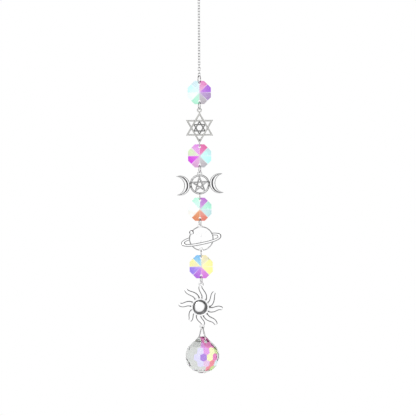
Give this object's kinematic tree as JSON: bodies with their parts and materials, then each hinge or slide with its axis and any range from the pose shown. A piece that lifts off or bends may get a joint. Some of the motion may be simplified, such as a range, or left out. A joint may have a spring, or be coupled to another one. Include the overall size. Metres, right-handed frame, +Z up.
{
  "type": "crystal suncatcher",
  "caption": "Hanging suncatcher: a fine chain carries octagonal crystals and cast sky charms on jump rings, with a faceted drop ball at the bottom.",
  "frame": {"origin": "top of the hanging ring's opening, where a hook or nail carries it", "axes": "+Z up along the string, the front of the charms and crystals faces -Y, +X to the viewer's right"},
  "size_m": [0.0292, 0.0202, 0.2418],
  "materials": {
    "plated_wire": "polished silver plate",
    "plated_chain": "polished silver plate",
    "cast_silver": "antique silver plate, polished high parts and darker hollows",
    "coated_crystal_1": "clear cut crystal with a rainbow coating: aqua, pink and violet facets",
    "coated_crystal_2": "clear cut crystal with a rainbow coating: magenta, rose, aqua and lime facets",
    "coated_crystal_3": "clear cut crystal with a rainbow coating: mint, violet, orange and coral facets",
    "coated_crystal_4": "clear cut crystal with a rainbow coating: lemon, sky blue, violet and orchid facets",
    "ball_crystal": "clear faceted crystal with a faint rainbow coating"
  },
  "bodies": {
    "root": {"hanging_ring": "plated_wire", "chain_link_01": "plated_chain", "chain_link_02": "plated_chain", "chain_link_03": "plated_chain", "chain_link_04": "plated_chain", "chain_link_05": "plated_chain", "chain_link_06": "plated_chain", "chain_link_07": "plated_chain", "chain_link_08": "plated_chain", "chain_link_09": "plated_chain", "chain_link_10": "plated_chain", "chain_link_11": "plated_chain", "chain_link_12": "plated_chain", "chain_link_13": "plated_chain", "chain_link_14": "plated_chain", "chain_link_15": "plated_chain", "chain_link_16": "plated_chain", "chain_link_17": "plated_chain", "chain_link_18": "plated_chain", "chain_link_19": "plated_chain", "chain_link_20": "plated_chain", "chain_link_21": "plated_chain", "chain_link_22": "plated_chain", "chain_link_23": "plated_chain", "chain_link_24": "plated_chain", "chain_link_25": "plated_chain", "chain_link_26": "plated_chain", "chain_link_27": "plated_chain", "chain_link_28": "plated_chain", "chain_link_29": "plated_chain", "chain_link_30": "plated_chain", "jump_ring_1": "plated_wire", "jump_ring_2": "plated_wire", "jump_ring_3": "plated_wire", "jump_ring_4": "plated_wire", "jump_ring_5": "plated_wire", "jump_ring_6": "plated_wire", "jump_ring_7": "plated_wire", "jump_ring_8": "plated_wire", "octagon_crystal_1": "coated_crystal_1", "octagon_crystal_2": "coated_crystal_2", "octagon_crystal_3": "coated_crystal_3", "octagon_crystal_4": "coated_crystal_4", "star_charm": "cast_silver", "triple_moon_charm": "cast_silver", "planet_charm": "cast_silver", "sun_charm": "cast_silver", "ball_bail": "plated_wire", "crystal_ball": "ball_crystal"}
  },
  "joints": []
}
